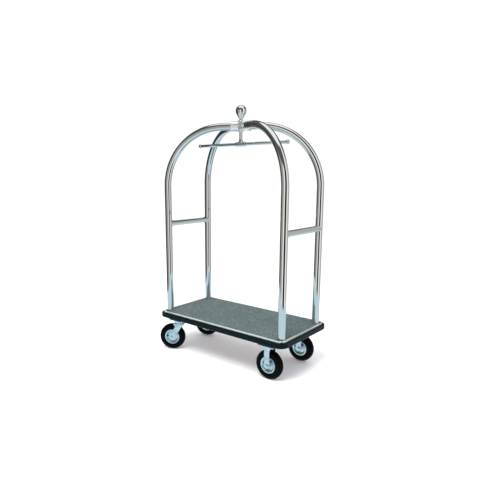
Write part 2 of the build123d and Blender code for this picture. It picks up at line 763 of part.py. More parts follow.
def fork_blank(crown_half_length, crown_bottom, crown_top, trail):
    """Two legs and a crown, bent from one plate: a U from the front, a leg from the side."""
    width = 2 * fork_outer_half
    gap = 2 * fork_inner_half
    length = 4 * (crown_half_length + trail + fork_leg_width)
    outside = Pos(0, crown_top / 2) * Rectangle(width, crown_top)
    outside = fillet(outside.vertices().group_by(Axis.Y)[-1], fork_sheet + fork_bend_radius)
    inside = Pos(0, crown_bottom / 2) * Rectangle(gap, crown_bottom)
    inside = fillet(inside.vertices().group_by(Axis.Y)[-1], fork_bend_radius)
    bend = extrude(Plane.YZ * (outside - inside), length / 2, both=True)
    half_leg = fork_leg_width / 2
    leg = Pos(trail, axle_height) * Circle(half_leg)
    leg_top = Pos(0, crown_bottom - half_leg) * Circle(half_leg)
    side = make_hull(leg.edges() + leg_top.edges())
    crown = RectangleRounded(2 * crown_half_length, fork_crown_depth, fork_crown_corner)
    crown = Pos(0, crown_top - fork_crown_depth / 2) * crown
    side += make_hull(leg_top.edges() + crown.edges())
    blank = bend & extrude(Plane.XZ * side, width, both=True)
    axle_hole = cylinder(axle_diameter / 2 + weld_gap, -width, width)
    return blank - Pos(trail, 0, axle_height) * crosswise(axle_hole)


def make_swivel_fork():
    """Swivelling fork with the lower ball race on its crown."""
    fork = fork_blank(swivel_crown_half_length, fork_crown_bottom, fork_crown_top, swivel_trail)
    race_bottom = fork_crown_top - weld_depth
    fork += tube(race_outer_radius, race_inner_radius, race_bottom, fork_crown_top + race_height)
    groove = Torus(ball_circle_diameter / 2, ball_diameter / 2 + running_clearance)
    fork -= Pos(0, 0, ball_height) * groove
    return fork - bore(kingpin_diameter / 2 + running_clearance, fork_crown_bottom, fork_crown_top)


def make_rigid_fork():
    """Fixed fork welded to its own top plate."""
    crown_top = plate_bottom + weld_depth
    fork = fork_blank(rigid_crown_half_length, crown_top - fork_sheet, crown_top, 0)
    return fork + make_top_plate()


def make_swivel_balls():
    """Ring of steel balls between the two races."""
    places = PolarLocations(ball_circle_diameter / 2, ball_count)
    return [Pos(0, 0, ball_height) * place * Sphere(ball_diameter / 2) for place in places]


def make_kingpin():
    """Bolt that holds the fork up to the plate, with its nut under the crown."""
    nut_top = fork_crown_bottom - moving_gap
    nut_bottom = nut_top - kingpin_nut_height
    head_top = caster_height + kingpin_head_height
    pin = cylinder(kingpin_diameter / 2, nut_bottom, head_top)
    pin += cylinder(kingpin_head_diameter / 2, caster_height, head_top)
    nut = hexagon(kingpin_diameter, nut_bottom, nut_top)
    return [pin, nut - bore(kingpin_diameter / 2 + weld_gap, nut_bottom, nut_top)]


def make_plate_bolts():
    """Four bolts from below and their nuts inside the cross member."""
    radius = plate_bolt_diameter / 2
    head_bottom = plate_bottom - bolt_head_share * plate_bolt_diameter
    nut_bottom = caster_height + cross_member_sheet
    nut_top = nut_bottom + nut_share * plate_bolt_diameter
    pieces = []
    for x, y in plate_bolt_places():
        bolt = cylinder(radius, head_bottom, nut_top + bolt_beyond_nut, x, y)
        pieces.append(bolt + hexagon(plate_bolt_diameter, head_bottom, plate_bottom, x, y))
        nut = hexagon(plate_bolt_diameter, nut_bottom, nut_top, x, y)
        pieces.append(nut - bore(radius + weld_gap, nut_bottom, nut_top, x, y))
    return pieces


def placed(solids, x, y, direction):
    """Move caster pieces to their mount and turn them to their direction."""
    place = Pos(x, y, 0) * Rot(0, 0, direction)
    return [place * solid for solid in solids]


def as_wheel(solids, trail):
    """Stand wheel pieces on the caster's axle, their axis along +Y."""
    return [Pos(trail, 0, axle_height) * crosswise(solid) for solid in solids]


def export_wheel(name, trail, mount):
    """The nodes of one wheel and its axle."""
    pieces = {
        "axle": make_axle(),
        "rim": [make_rim()],
        "rim_bolts": make_rim_bolts(),
        "tyre": [make_tyre()],
        "inner_tube": [make_inner_tube()],
        "wheel_bearings": make_bearings(),
    }
    for kind, solids in pieces.items():
        export(f"{kind}_{name}", *placed(as_wheel(solids, trail), *mount))


def main():
    os.makedirs("parts", exist_ok=True)

    export("deck_frame", make_deck_frame())
    export("cross_member_left", make_cross_member(swivel_mount_x))
    export("cross_member_right", make_cross_member(rigid_mount_x))
    export("deck_board", make_deck_board())
    export("carpet", make_carpet())
    export("edge_trim", make_edge_trim())
    export("bumper", make_bumper())

    for name, (x, y) in post_places.items():
        export(f"arch_tube_{name}", make_arch_tube(x, y))
    export("post_base_rings", *at_posts(make_base_ring))
    export("post_foot_plugs", *at_posts(make_foot_plug))
    export("post_bolts", *at_posts(make_post_bolt))
    export("end_rail_left", make_end_rail(-post_x))
    export("end_rail_right", make_end_rail(post_x))
    export("rail_collars", *[make_rail_collar(x, side) for x in (-post_x, post_x) for side in (-1, 1)])

    export("crown_hub", make_crown_hub())
    export("set_screws", make_tee_set_screw(), *at_posts(make_hub_set_screw))
    export("finial", make_finial())
    export("hanger_rod", make_hanger_rod())
    export("hanger_tee", make_hanger_tee())
    export("hanger_bar", make_hanger_bar())
    export("hanger_end_balls", make_hanger_ball(-1), make_hanger_ball(1))

    kingpins = []
    plate_bolts = []
    for name, mount in swivel_casters.items():
        x, y, direction = mount
        export(f"caster_plate_{name}", *placed([make_swivel_plate()], x, y, 0))
        export(f"swivel_fork_{name}", *placed([make_swivel_fork()], *mount))
        export(f"swivel_balls_{name}", *placed(make_swivel_balls(), *mount))
        kingpins += placed(make_kingpin(), x, y, 0)
        plate_bolts += placed(make_plate_bolts(), x, y, 0)
        export_wheel(name, swivel_trail, mount)
    for name, mount in rigid_casters.items():
        export(f"rigid_fork_{name}", *placed([make_rigid_fork()], *mount))
        plate_bolts += placed(make_plate_bolts(), *mount)
        export_wheel(name, 0, mount)
    export("caster_kingpins", *kingpins)
    export("caster_plate_bolts", *plate_bolts)


main()
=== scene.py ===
# %% [markdown]
# # A hotel luggage cart
#
# The cart is a birdcage of bright tube over a carpeted deck on four pneumatic wheels.
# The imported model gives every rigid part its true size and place. This lesson adds what
# that model can't hold: the finish of each metal, a looped-pile carpet, tyres with a real
# tread, and tubes smooth enough to mirror a studio.

import json
from math import atan2, cos, hypot, pi, radians, sin, sqrt

import bmesh
import bpy
from mathutils import Matrix, Vector


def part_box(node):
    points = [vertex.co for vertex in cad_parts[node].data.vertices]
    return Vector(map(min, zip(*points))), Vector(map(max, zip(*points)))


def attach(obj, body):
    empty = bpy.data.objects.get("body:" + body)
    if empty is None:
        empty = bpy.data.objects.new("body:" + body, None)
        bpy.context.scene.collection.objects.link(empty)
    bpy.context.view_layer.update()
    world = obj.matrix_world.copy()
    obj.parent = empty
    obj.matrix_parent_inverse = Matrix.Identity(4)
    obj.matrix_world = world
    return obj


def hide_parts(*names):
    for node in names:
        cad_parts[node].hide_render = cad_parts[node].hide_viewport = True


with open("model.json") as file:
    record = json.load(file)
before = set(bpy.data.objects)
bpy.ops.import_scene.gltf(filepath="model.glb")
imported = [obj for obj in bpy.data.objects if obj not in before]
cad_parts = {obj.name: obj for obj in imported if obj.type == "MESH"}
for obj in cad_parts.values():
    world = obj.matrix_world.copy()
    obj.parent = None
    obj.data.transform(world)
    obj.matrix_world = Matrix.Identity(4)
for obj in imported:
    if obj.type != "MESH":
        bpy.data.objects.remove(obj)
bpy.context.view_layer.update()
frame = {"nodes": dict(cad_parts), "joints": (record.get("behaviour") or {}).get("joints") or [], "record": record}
nodes = frame["nodes"]

# %% [markdown]
# ## Finishes
#
# A finish is a small network of shader nodes. Each one below starts from the Principled
# shader and adds only what the real surface shows. The patterns are read from Object
# coordinates, in metres, so a scale of 400 means about 400 features to the metre, and the
# same finish keeps its grain size on a large part and on a small one.


# %% Helpers for finishes
class Finish:
    """A material with its Principled shader, and short ways to add to it."""

    def __init__(self, name, color, roughness, metallic=0.0, specular=0.5):
        self.material = bpy.data.materials.new(name)
        self.material.use_nodes = True
        self.material.diffuse_color = (*color, 1.0)
        self.tree = self.material.node_tree
        self.shader = self.tree.nodes["Principled BSDF"]
        self.shader.inputs["Base Color"].default_value = (*color, 1.0)
        self.shader.inputs["Roughness"].default_value = roughness
        self.shader.inputs["Metallic"].default_value = metallic
        self.shader.inputs["Specular IOR Level"].default_value = specular
        self.place = self.add("ShaderNodeTexCoord").outputs["Object"]

    def add(self, kind, **sockets):
        node = self.tree.nodes.new(kind)
        for name, value in sockets.items():
            node.inputs[name.replace("_", " ")].default_value = value
        return node

    def link(self, source, target):
        self.tree.links.new(source, target)

    def stretched(self, scale):
        """Object coordinates, stretched by a factor along each axis."""
        mapping = self.add("ShaderNodeMapping", Scale=scale)
        self.link(self.place, mapping.inputs["Vector"])
        return mapping.outputs["Vector"]

    def noise(self, scale, detail=3.0, place=None):
        node = self.add("ShaderNodeTexNoise", Scale=scale, Detail=detail)
        self.link(place or self.place, node.inputs["Vector"])
        return node.outputs["Fac"]

    def cells(self, scale):
        """A random colour for each small cell."""
        node = self.add("ShaderNodeTexVoronoi", Scale=scale)
        self.link(self.place, node.inputs["Vector"])
        return node.outputs["Color"]

    def ramp(self, value, stops):
        """Colours along a value: the two ends first, then any between them."""
        node = self.add("ShaderNodeValToRGB")
        elements = node.color_ramp.elements
        elements[0].position, elements[0].color = stops[0][0], (*stops[0][1], 1.0)
        elements[1].position, elements[1].color = stops[1][0], (*stops[1][1], 1.0)
        for position, color in stops[2:]:
            elements.new(position).color = (*color, 1.0)
        self.link(value, node.inputs["Fac"])
        return node.outputs["Color"]

    def between(self, value, low, high, start=0.0, end=1.0):
        """Map a value's range from start..end onto low..high."""
        node = self.add("ShaderNodeMapRange")
        for index, number in enumerate((start, end, low, high)):
            node.inputs[index + 1].default_value = number
        self.link(value, node.inputs["Value"])
        return node.outputs["Result"]

    def mixed(self, kind, factor, first, second):
        """Two colours mixed by a factor; each may be a socket or a plain value."""
        node = self.add("ShaderNodeMix")
        node.data_type = "RGBA"
        node.blend_type = kind
        for name, value in (("Factor", factor), ("A", first), ("B", second)):
            if isinstance(value, bpy.types.NodeSocket):
                self.link(value, node.inputs[name])
            else:
                node.inputs[name].default_value = value
        return node.outputs["Result"]

    def color(self, source):
        self.link(source, self.shader.inputs["Base Color"])

    def roughness(self, source):
        self.link(source, self.shader.inputs["Roughness"])

    def bump(self, height, distance, strength):
        """Relief from a pattern; distance is its full height in metres."""
        node = self.add("ShaderNodeBump", Strength=strength, Distance=distance)
        self.link(height, node.inputs["Height"])
        self.link(node.outputs["Normal"], self.shader.inputs["Normal"])


# %% [markdown]
# ### Polished chrome
#
# Chrome is a mirror, so what it shows is the room. Its own surface adds very little: a
# faint haze where hands have been, and hairline marks from the polishing wheel. Both are
# changes of roughness and relief far too small to see one by one, but without them the
# tube looks like a computer's idea of chrome. The cast hub and the rings at the posts'
# feet take the same plating less well: the hub is satin and pale, the rings are dull.


# %% Chrome
def make_chrome(name, color, clean, hazy, metallic=1.0):
    """Mirror metal whose roughness drifts between a clean and a hazy value."""
    finish = Finish(name, color, clean, metallic=metallic)
    finish.roughness(finish.between(finish.noise(9.0, 5.0), clean, hazy, 0.35, 0.75))
    hairlines = finish.noise(60.0, 2.0, finish.stretched((18.0, 18.0, 1.0)))
    finish.bump(hairlines, 0.00002, 0.15)
    return finish.material


chrome = make_chrome("polished_chrome", (0.80, 0.825, 0.84), 0.035, 0.085)
satin_hub = make_chrome("satin_plated_casting", (0.90, 0.92, 0.92), 0.18, 0.28, metallic=0.85)
dull_ring = make_chrome("dull_plated_ring", (0.36, 0.38, 0.39), 0.22, 0.34)
print("chrome finishes:", chrome.name, satin_hub.name, dull_ring.name)

# %% [markdown]
# ### Zinc plate and plain steel
#
# The casters are pressed from sheet and zinc plated. Fresh zinc has a cool blue cast, a
# soft sheen rather than a mirror, and clouds of slightly different tint where the plating
# bath ran off. A cloud pattern drives the tint, and a finer one the roughness.


# %% Zinc and steel
def make_zinc():
    finish = Finish("zinc_plate", (0.60, 0.69, 0.76), 0.3, metallic=1.0)
    clouds = finish.noise(26.0, 6.0)
    tints = [(0.3, (0.56, 0.68, 0.77)), (0.72, (0.87, 0.93, 0.95)), (0.52, (0.72, 0.83, 0.88))]
    finish.color(finish.ramp(clouds, tints))
    finish.roughness(finish.between(finish.noise(140.0, 4.0), 0.13, 0.30, 0.3, 0.7))
    finish.bump(finish.noise(900.0, 2.0), 0.00004, 0.25)
    return finish.material


def make_steel():
    finish = Finish("plain_steel", (0.50, 0.50, 0.51), 0.3, metallic=1.0)
    finish.roughness(finish.between(finish.noise(200.0, 4.0), 0.22, 0.42, 0.3, 0.7))
    finish.bump(finish.noise(1500.0, 2.0), 0.00003, 0.3)
    return finish.material


zinc = make_zinc()
steel = make_steel()
print("plated and plain steel:", zinc.name, steel.name)

# %% [markdown]
# ### Bright aluminium edging
#
# The edging is an extrusion, so its marks run along it. The lines come from noise that is
# squeezed in height, which reads as long level scratches on the upright band.


# %% Aluminium
def make_aluminium():
    finish = Finish("bright_aluminium", (0.88, 0.95, 0.98), 0.24, metallic=0.7)
    lines = finish.noise(40.0, 3.0, finish.stretched((0.4, 0.4, 60.0)))
    finish.roughness(finish.between(lines, 0.16, 0.34, 0.3, 0.7))
    finish.bump(lines, 0.00004, 0.3)
    return finish.material


aluminium = make_aluminium()
print("edging:", aluminium.name)

# %% [markdown]
# ### Rubber
#
# The bumper is a smooth dark vinyl with a faint green cast and a soft shine along its
# rounded edge. The tyres are drier, with a little dust in the low spots, and the inner
# tubes are paler. The same helper makes all three, from a pair of tints and a pair of
# roughness values.


# %% Rubbers
def make_rubber(name, dark, dusty, smooth, dry, grain, depth, relief, shine):
    """Rubber that drifts between a clean dark tint and a dusty one."""
    finish = Finish(name, dark, smooth, specular=shine)
    patches = finish.noise(22.0, 5.0)
    finish.color(finish.ramp(patches, [(0.42, dark), (0.78, dusty)]))
    finish.roughness(finish.between(patches, smooth, dry, 0.35, 0.7))
    finish.bump(finish.noise(grain, 3.0), depth, relief)
    return finish.material


bumper_rubber = make_rubber(
    "bumper_vinyl", (0.0010, 0.0050, 0.0052), (0.0022, 0.0070, 0.0070),
    smooth=0.15, dry=0.24, grain=500.0, depth=0.00002, relief=0.2, shine=0.15,
)
tyre_rubber = make_rubber(
    "tread_rubber", (0.0010, 0.0011, 0.0015), (0.0034, 0.0034, 0.0036),
    smooth=0.30, dry=0.52, grain=1100.0, depth=0.0001, relief=0.5, shine=0.06,
)
tube_rubber = make_rubber(
    "butyl_rubber", (0.010, 0.010, 0.010), (0.020, 0.020, 0.020),
    smooth=0.40, dry=0.60, grain=900.0, depth=0.00005, relief=0.4, shine=0.3,
)
print("rubbers:", bumper_rubber.name, tyre_rubber.name, tube_rubber.name)

# %% [markdown]
# ### Under the deck
#
# Nobody sees the underside until the cart is tipped over, but it is part of the object:
# a black powder-coated frame, with the fine orange peel of baked powder, and a plain
# plywood board whose grain runs along the deck.


# %% Powder coat and plywood
def make_powder_coat():
    finish = Finish("black_powder_coat", (0.014, 0.015, 0.016), 0.42, specular=0.5)
    finish.roughness(finish.between(finish.noise(60.0, 4.0), 0.34, 0.5, 0.3, 0.7))
    finish.bump(finish.noise(520.0, 2.0), 0.00010, 0.6)
    return finish.material


def make_plywood():
    finish = Finish("birch_plywood", (0.50, 0.34, 0.19), 0.62)
    grain = finish.noise(7.0, 6.0, finish.stretched((0.9, 14.0, 40.0)))
    tints = [(0.25, (0.24, 0.16, 0.09)), (0.75, (0.46, 0.36, 0.24)), (0.5, (0.36, 0.27, 0.17))]
    finish.color(finish.ramp(grain, tints))
    finish.bump(grain, 0.0003, 0.35)
    return finish.material


powder_coat = make_powder_coat()
plywood = make_plywood()
print("underside:", powder_coat.name, plywood.name)

# %% [markdown]
# ### Carpet
#
# The carpet is a grey-green loop pile, flecked like most hard-wearing contract carpet.
# One pattern of small cells gives each tuft its own tint, and a slow cloud shades whole
# areas where the pile has been walked on and leans another way.


# %% Carpet
def make_carpet_fibre():
    finish = Finish("looped_carpet", (0.08, 0.115, 0.118), 1.0, specular=0.05)
    finish.shader.inputs["Sheen Weight"].default_value = 0.06
    finish.shader.inputs["Sheen Roughness"].default_value = 0.6
    split = finish.add("ShaderNodeSeparateColor")
    finish.link(finish.cells(190.0), split.inputs["Color"])
    tints = [(0.0, (0.038, 0.062, 0.064)), (1.0, (0.19, 0.22, 0.22))]
    tints += [(0.4, (0.076, 0.110, 0.113)), (0.8, (0.115, 0.150, 0.150))]
    tufts = finish.ramp(split.outputs["Red"], tints)
    worn = finish.ramp(finish.noise(5.0, 5.0), [(0.3, (0.82, 0.83, 0.84)), (0.7, (1.0, 1.0, 1.0))])
    finish.color(finish.mixed("MULTIPLY", 1.0, tufts, worn))
    finish.bump(finish.noise(1400.0, 3.0), 0.0004, 0.8)
    return finish.material


carpet_fibre = make_carpet_fibre()
print("carpet:", carpet_fibre.name)

# %% [markdown]
# ## Give each CAD part its finish
#
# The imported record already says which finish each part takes, as a material slot. A
# dictionary turns those slot names into the materials made above. Only the hub, which is
# cast and not drawn, has a finish of its own.

# %% Finish the CAD parts
finishes = {
    "chrome": chrome,
    "carpet": carpet_fibre,
    "plywood": plywood,
    "frame_paint": powder_coat,
    "aluminium": aluminium,
    "bumper_rubber": bumper_rubber,
    "zinc": zinc,
    "steel": steel,
    "tyre_rubber": tyre_rubber,
    "tube_rubber": tube_rubber,
    "ring_dark": dull_ring,
}
slot_of = {part["node"]: part["material_slot"] for part in frame["record"]["subparts"]}
own_finish = {"crown_hub": satin_hub}
for name, part in nodes.items():
    for material_slot in part.material_slots:
        material_slot.material = own_finish.get(name, finishes[slot_of[name]])
print("finished", len(slot_of), "CAD parts with", len(finishes), "finishes")

# %% [markdown]
# ## Geometry Nodes in a script
#
# What repeats, or follows a rule, is grown by a Geometry Nodes tree. The tree is built
# here in code, its sizes are named inputs, and the result is read back as a plain mesh,
# so the finished piece carries no modifier.


# %% Helpers for Geometry Nodes
class Grower:
    """A Geometry Nodes tree with named inputs, and short ways to wire it."""

    def __init__(self, name, inputs):
        self.tree = bpy.data.node_groups.new(name, "GeometryNodeTree")
        face = self.tree.interface
        face.new_socket("Geometry", in_out="INPUT", socket_type="NodeSocketGeometry")
        self.identifiers = {}
        for label, kind in inputs.items():
            socket = face.new_socket(label, in_out="INPUT", socket_type="NodeSocket" + kind)
            self.identifiers[label] = socket.identifier
        face.new_socket("Geometry", in_out="OUTPUT", socket_type="NodeSocketGeometry")
        self.source = self.tree.nodes.new("NodeGroupInput").outputs
        self.result = self.tree.nodes.new("NodeGroupOutput").inputs["Geometry"]

    def add(self, kind, settings=None, **links):
        """A node of this kind; links are sockets or plain values for its inputs."""
        node = self.tree.nodes.new(kind)
        for key, value in (settings or {}).items():
            setattr(node, key, value)
        for key, value in links.items():
            self.feed(node.inputs[key.replace("_", " ")], value)
        return node

    def feed(self, socket, value):
        if isinstance(value, bpy.types.NodeSocket):
            self.tree.links.new(value, socket)
        else:
            socket.default_value = value

    def math(self, operation, first, second=0.0):
        node = self.add("ShaderNodeMath", {"operation": operation})
        self.feed(node.inputs[0], first)
        self.feed(node.inputs[1], second)
        return node.outputs["Value"]

    def join(self, *geometries):
        node = self.add("GeometryNodeJoinGeometry")
        for geometry in geometries:
            self.tree.links.new(geometry, node.inputs["Geometry"])
        return node.outputs["Geometry"]

    def finish(self, geometry, material):
        """Instances made real, the material set, and the result sent out."""
        real = self.add("GeometryNodeRealizeInstances", Geometry=geometry)
        coated = self.add("GeometryNodeSetMaterial", Geometry=real.outputs["Geometry"])
        coated.inputs["Material"].default_value = material
        self.tree.links.new(coated.outputs["Geometry"], self.result)

    def grow(self, name, source, values):
        """Run the tree on an object and return the result as a plain mesh."""
        modifier = source.modifiers.new("grow", "NODES")
        modifier.node_group = self.tree
        for label, value in values.items():
            modifier[self.identifiers[label]] = value
        evaluated = source.evaluated_get(bpy.context.evaluated_depsgraph_get())
        mesh = bpy.data.meshes.new_from_object(evaluated)
        mesh.name = name
        source.modifiers.remove(modifier)
        return mesh


def add_piece(name, mesh):
    """Put a mesh in the scene at the origin."""
    piece = bpy.data.objects.new(name, mesh)
    bpy.context.scene.collection.objects.link(piece)
    return piece


def discard(*objects):
    for item in objects:
        bpy.data.objects.remove(item, do_unlink=True)


def smooth(mesh, angle):
    """Smooth shading, with edges sharper than the angle kept crisp."""
    mesh.polygons.foreach_set("use_smooth", [True] * len(mesh.polygons))
    mesh.set_sharp_from_angle(angle=radians(angle))


print("Geometry Nodes helpers ready")

# %% [markdown]
# ## The arch tubes
#
# Each of the four tubes stands straight up from the deck, turns in with one wide bend,
# and runs almost level to the crown. On a mirror finish the flat facets of a coarse mesh
# show at once, so the tubes are grown again at high resolution: a path of straight runs
# and true arcs, and a tree that sweeps a circle along it. The sizes are read back from
# the CAD parts, so the new tubes lie exactly where the old ones did.

# %% Sizes of the birdcage
TUBE_RADIUS = 0.0254
BEND_RADIUS = 0.415
CROWN_SLOPE = radians(8.0)
CROWN_STRAIGHT = 0.042
HUB_GAP = 0.0035
tube_low, tube_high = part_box("arch_tube_back_right")
POST_X = tube_high[0] - TUBE_RADIUS
POST_Y = tube_high[1] - TUBE_RADIUS
FOOT_HEIGHT = tube_low[2]
CROWN_HEIGHT = tube_high[2] - TUBE_RADIUS
print(f"posts at x {POST_X:.4f}, y {POST_Y:.4f}; crown at {CROWN_HEIGHT:.4f} m")


# %% Path of one arch
def arc_points(centre, radius, start, end, steps):
    """Points along an arc in a plane, from one angle to another."""
    turns = [start + (end - start) * step / steps for step in range(steps + 1)]
    return [(centre[0] + radius * cos(turn), centre[1] + radius * sin(turn)) for turn in turns]


def arch_path(reach, hub_reach):
    """(distance from the centre, height) along a tube, from its foot to the crown."""
    level = hub_reach + CROWN_STRAIGHT
    crown_radius = (reach - level - BEND_RADIUS * (1 - sin(CROWN_SLOPE))) / sin(CROWN_SLOPE)
    bend_height = CROWN_HEIGHT - crown_radius * (1 - cos(CROWN_SLOPE)) - BEND_RADIUS * cos(CROWN_SLOPE)
    knee = pi / 2 - CROWN_SLOPE
    points = [(reach, FOOT_HEIGHT)]
    points += arc_points((reach - BEND_RADIUS, bend_height), BEND_RADIUS, 0.0, knee, 48)
    points += arc_points((level, CROWN_HEIGHT - crown_radius), crown_radius, knee, pi / 2, 10)[1:]
    return points + [(hub_reach, CROWN_HEIGHT)]


ARCH_REACH = hypot(POST_X, POST_Y)
HUB_REACH = TUBE_RADIUS / sin(min(atan2(POST_Y, POST_X), atan2(POST_X, POST_Y))) + HUB_GAP
path = arch_path(ARCH_REACH, HUB_REACH)
print(f"arch reach {ARCH_REACH:.4f} m, path of {len(path)} points")


# %% Tree that sweeps a tube
def make_tube_tree():
    tree = Grower("sweep_tube", {"Tube Radius": "Float", "Sides": "Int"})
    outline = tree.add(
        "GeometryNodeCurvePrimitiveCircle",
        Resolution=tree.source["Sides"],
        Radius=tree.source["Tube Radius"],
    )
    sweep = tree.add(
        "GeometryNodeCurveToMesh",
        Curve=tree.source["Geometry"],
        Profile_Curve=outline.outputs["Curve"],
        Fill_Caps=True,
    )
    tree.finish(sweep.outputs["Mesh"], chrome)
    return tree


tube_tree = make_tube_tree()


def grow_tube(name, points, radius, sides=72):
    """A round tube along a path of points in space."""
    curve = bpy.data.curves.new(name + "_path", "CURVE")
    curve.dimensions = "3D"
    spline = curve.splines.new("POLY")
    spline.points.add(len(points) - 1)
    for point, place in zip(spline.points, points):
        point.co = (*place, 1.0)
    source = add_piece(name + "_path", curve)
    mesh = tube_tree.grow(name, source, {"Tube Radius": radius, "Sides": sides})
    discard(source)
    smooth(mesh, 50.0)
    return add_piece(name, mesh)


corners = {
    "front_left": (-POST_X, -POST_Y),
    "front_right": (POST_X, -POST_Y),
    "back_right": (POST_X, POST_Y),
    "back_left": (-POST_X, POST_Y),
}
for corner, (x, y) in corners.items():
    points = [(distance * x / ARCH_REACH, distance * y / ARCH_REACH, height) for distance, height in path]
    arch = grow_tube(f"arch_{corner}", points, TUBE_RADIUS)
    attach(arch, "cart")
    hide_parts(f"arch_tube_{corner}")
print("swept", len(corners), "arch tubes")

# %% [markdown]
# ## The bumper and the edge trim
#
# Both run right round the deck. The bumper is a soft extrusion with rounded edges and
# one groove, and the trim is a bright angle whose short lip holds the carpet down. Each
# is one cross-section carried along the deck's outline, so one tree makes both: it takes
# the outline as its geometry and the cross-section as a second object.

# %% Deck outline
DECK_CORNER = 0.046
trim_low, trim_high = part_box("edge_trim")
bumper_low, bumper_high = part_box("bumper")
DECK_HALF = (trim_high[0], trim_high[1])


def deck_outline(steps=20):
    """Points round the deck, anticlockwise, with true round corners."""
    points = []
    for quarter, (side_x, side_y) in enumerate(((1, -1), (1, 1), (-1, 1), (-1, -1))):
        centre = (side_x * (DECK_HALF[0] - DECK_CORNER), side_y * (DECK_HALF[1] - DECK_CORNER))
        begin = (quarter - 1) * pi / 2
        points += arc_points(centre, DECK_CORNER, begin, begin + pi / 2, steps)
    return points


print(f"deck {2 * DECK_HALF[0]:.3f} by {2 * DECK_HALF[1]:.3f} m")


# %% Tree that carries a section along a line
def make_section_tree():
    tree = Grower("carry_section", {"Section": "Object"})
    section = tree.add("GeometryNodeObjectInfo", Object=tree.source["Section"])
    level = tree.add("GeometryNodeSetCurveNormal", {"mode": "Z_UP"}, Curve=tree.source["Geometry"])
    carried = tree.add(
        "GeometryNodeCurveToMesh", Curve=level.outputs["Curve"], Profile_Curve=section.outputs["Geometry"]
    )
    return tree, carried.outputs["Mesh"]


def draw_loop(name, points):
    """A closed poly line through points in space."""
    curve = bpy.data.curves.new(name, "CURVE")
    curve.dimensions = "3D"
    spline = curve.splines.new("POLY")
    spline.points.add(len(points) - 1)
    for point, place in zip(spline.points, points):
        point.co = (*place, 1.0)
    spline.use_cyclic_u = True
    return add_piece(name, curve)


def carry_round_deck(name, section, material):
    """Sweep (outset, height) pairs round the deck's outline, as a closed band."""
    tree, mesh_out = make_section_tree()
    tree.finish(mesh_out, material)
    line = draw_loop(name + "_line", [(x, y, 0.0) for x, y in deck_outline()])
    cross = draw_loop(name + "_section", [(outset, -height, 0.0) for outset, height in section])
    mesh = tree.grow(name, line, {"Section": cross})
    discard(line, cross)
    shape = bmesh.new()
    shape.from_mesh(mesh)
    bmesh.ops.remove_doubles(shape, verts=shape.verts, dist=1e-7)
    bmesh.ops.recalc_face_normals(shape, faces=shape.faces)
    shape.to_mesh(mesh)
    shape.free()
    smooth(mesh, 40.0)
    band = add_piece(name, mesh)
    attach(band, "cart")
    return band


# %% Bumper
BUMPER_ROUNDING, GROOVE_DEPTH, GROOVE_HALF, LIP_ROUNDING = 0.008, 0.002, 0.0015, 0.0005
thick = bumper_high[0] - DECK_HALF[0]
low, high = bumper_low[2], bumper_high[2]
groove = (low + high) / 2
groove_low, groove_high = groove - GROOVE_HALF, groove + GROOVE_HALF
edge, lip = thick - BUMPER_ROUNDING, thick - LIP_ROUNDING
section = [(0.0, low)]
section += arc_points((edge, low + BUMPER_ROUNDING), BUMPER_ROUNDING, -pi / 2, 0.0, 10)
section += arc_points((lip, groove_low - LIP_ROUNDING), LIP_ROUNDING, 0.0, pi / 2, 3)
section += [(thick - GROOVE_DEPTH, groove_low), (thick - GROOVE_DEPTH, groove_high)]
section += arc_points((lip, groove_high + LIP_ROUNDING), LIP_ROUNDING, -pi / 2, 0.0, 3)
section += arc_points((edge, high - BUMPER_ROUNDING), BUMPER_ROUNDING, 0.0, pi / 2, 10)
section += [(0.0, high)]
bumper = carry_round_deck("bumper_band", section, bumper_rubber)
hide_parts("bumper")
print("bumper faces:", len(bumper.data.polygons), "on a section of", len(section), "points")

# %% Edge trim
TRIM_SHEET, LIP_WIDTH, LIP_SHEET = 0.003, 0.010, 0.0026
TRIM_ROUNDING, LIP_END_ROUNDING = 0.0012, 0.0006
low, high = trim_low[2], trim_high[2]
section = [(0.0, low)]
section += arc_points((-TRIM_ROUNDING, high - TRIM_ROUNDING), TRIM_ROUNDING, 0.0, pi / 2, 6)
lip_end = (LIP_END_ROUNDING - LIP_WIDTH, high - LIP_END_ROUNDING)
section += arc_points(lip_end, LIP_END_ROUNDING, pi / 2, pi, 4)
section += [(-LIP_WIDTH, high - LIP_SHEET), (-TRIM_SHEET, high - LIP_SHEET), (-TRIM_SHEET, low)]
trim = carry_round_deck("edge_trim_band", section, aluminium)
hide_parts("edge_trim")
print("trim faces:", len(trim.data.polygons), "on a section of", len(section), "points")

# %% [markdown]
# ## The end rails and the hanger bar
#
# These are straight tubes with the same mirror finish, so the same tree sweeps them. The
# rails stop just inside the posts, where the collars cover the joint.

# %% Straight tubes
RAIL_RADIUS, RAIL_GAP = 0.020, 0.001
for side in ("left", "right"):
    low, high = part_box(f"end_rail_{side}")
    x, z = (low[0] + high[0]) / 2, (low[2] + high[2]) / 2
    ends = [(x, low[1] + RAIL_GAP, z), (x, high[1] - RAIL_GAP, z)]
    rail = grow_tube(f"rail_{side}", ends, RAIL_RADIUS)
    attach(rail, "cart")
    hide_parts(f"end_rail_{side}")
bar_low, bar_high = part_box("hanger_bar")
bar_height = (bar_low[2] + bar_high[2]) / 2
bar_radius = (bar_high[2] - bar_low[2]) / 2
ends = [(bar_low[0], 0, bar_height), (bar_high[0], 0, bar_height)]
bar = grow_tube("hanger_bar_tube", ends, bar_radius, 48)
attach(bar, "cart")
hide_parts("hanger_bar")
print(f"hanger bar {bar_high[0] - bar_low[0]:.3f} m long at {bar_height:.3f} m")

# %% [markdown]
# ## Turned parts
#
# The finial on the crown is turned on a lathe, and so it is here: an outline of (radius,
# height) pairs is spun about the vertical axis. Points that lie on the axis are merged,
# so that each pole is closed. The same lathe turns the tyres' carcass further on.


# %% Lathe
ON_AXIS = 1e-6


